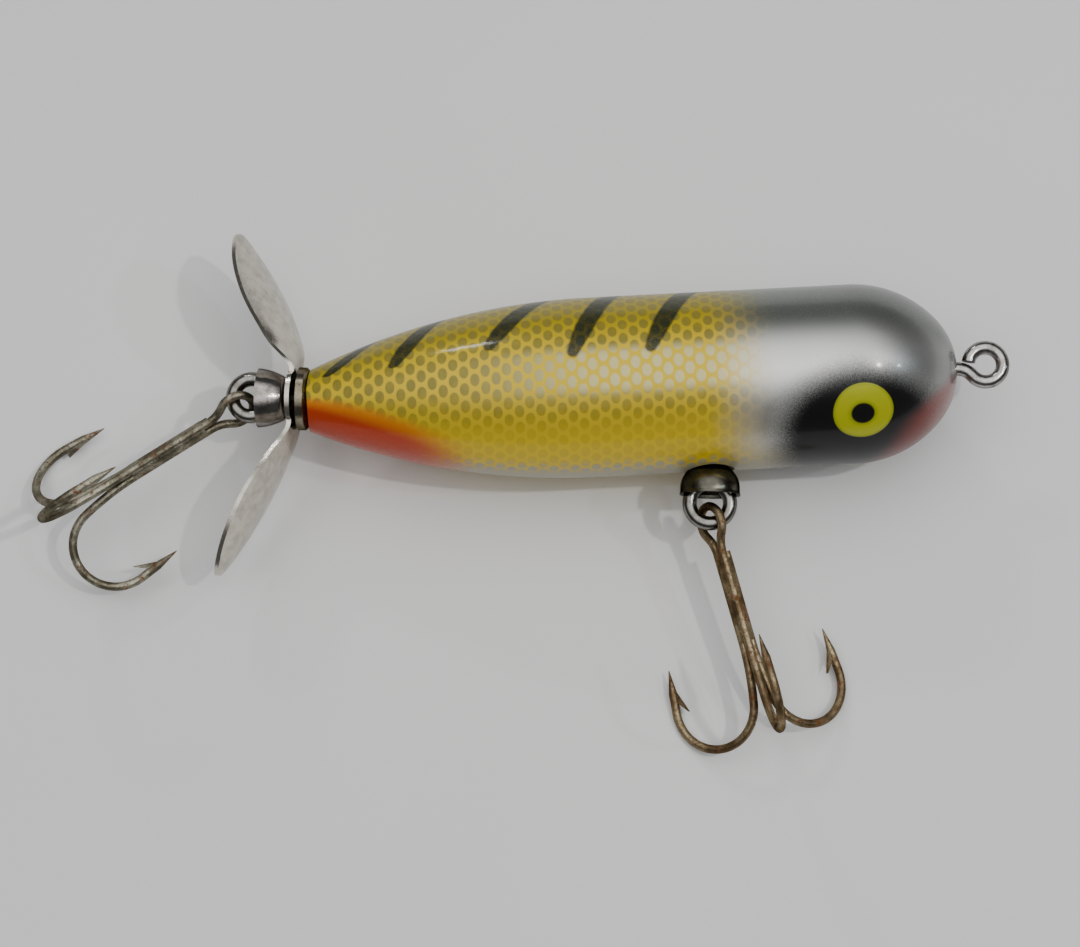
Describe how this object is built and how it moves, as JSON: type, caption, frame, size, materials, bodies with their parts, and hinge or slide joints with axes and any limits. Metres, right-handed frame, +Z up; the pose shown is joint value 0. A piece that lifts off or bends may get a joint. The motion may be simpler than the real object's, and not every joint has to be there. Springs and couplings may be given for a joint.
{
  "type": "tail-propeller topwater fishing lure",
  "caption": "Cigar-shaped floating surface lure with screw eyes, a free-spinning tail propeller and treble hooks hanging under the belly and at the tail",
  "frame": {"origin": "middle of the rectangle the lying lure covers, on the surface it lies on", "axes": "+X along the body towards the nose, +Z up, +Y towards the lure's back; the lure lies on its left side and its belly treble points to -Y"},
  "size_m": [0.0974, 0.0532, 0.0177],
  "materials": {
    "painted_side": "clear-coated paint, yellow scale pattern fading to a silver and black head",
    "painted_far_side": "clear-coated paint, yellow scale pattern fading to a silver and black head",
    "plated_wire": "dulled nickel plate",
    "plated_cup": "dulled nickel plate with draw marks",
    "propeller_steel": "worn plate",
    "hook_wire": "bronzed, with rust spots",
    "braze": "dull"
  },
  "bodies": {
    "lure_body": {"body_shell_right": "painted_side", "body_shell_left": "painted_far_side", "nose_screw_eye": "plated_wire", "belly_screw_eye": "plated_wire", "tail_screw_eye": "plated_wire", "belly_cup": "plated_cup", "tail_ferrule": "plated_cup"},
    "propeller": {"propeller": "propeller_steel"},
    "thrust_cup": {"thrust_cup": "plated_cup"},
    "belly_treble": {"belly_treble_double_wire": "hook_wire", "belly_treble_single_wire": "hook_wire", "belly_treble_braze": "braze"},
    "tail_treble": {"tail_treble_double_wire": "hook_wire", "tail_treble_single_wire": "hook_wire", "tail_treble_braze": "braze"}
  },
  "joints": [
    {"name": "propeller_spin", "type": "hinge", "parent": "lure_body", "child": "propeller", "pos_m": [-0.02043, 0.0095, 0.00889], "axis": [-0.9916, 0.0978, -0.0846], "continuous": true},
    {"name": "thrust_cup_spin", "type": "hinge", "parent": "lure_body", "child": "thrust_cup", "pos_m": [-0.02043, 0.0095, 0.00889], "axis": [-0.9916, 0.0978, -0.0846], "continuous": true},
    {"name": "belly_treble_swing", "type": "hinge", "parent": "lure_body", "child": "belly_treble", "pos_m": [0.01839, -0.00475, 0.00714], "axis": [0.8347, 0.2366, -0.4973], "range_deg": [-80, 80]},
    {"name": "tail_treble_swing", "type": "hinge", "parent": "lure_body", "child": "tail_treble", "pos_m": [-0.02754, 0.00901, 0.00814], "axis": [-0.3583, 0.765, -0.5352], "range_deg": [-55, 80]}
  ]
}
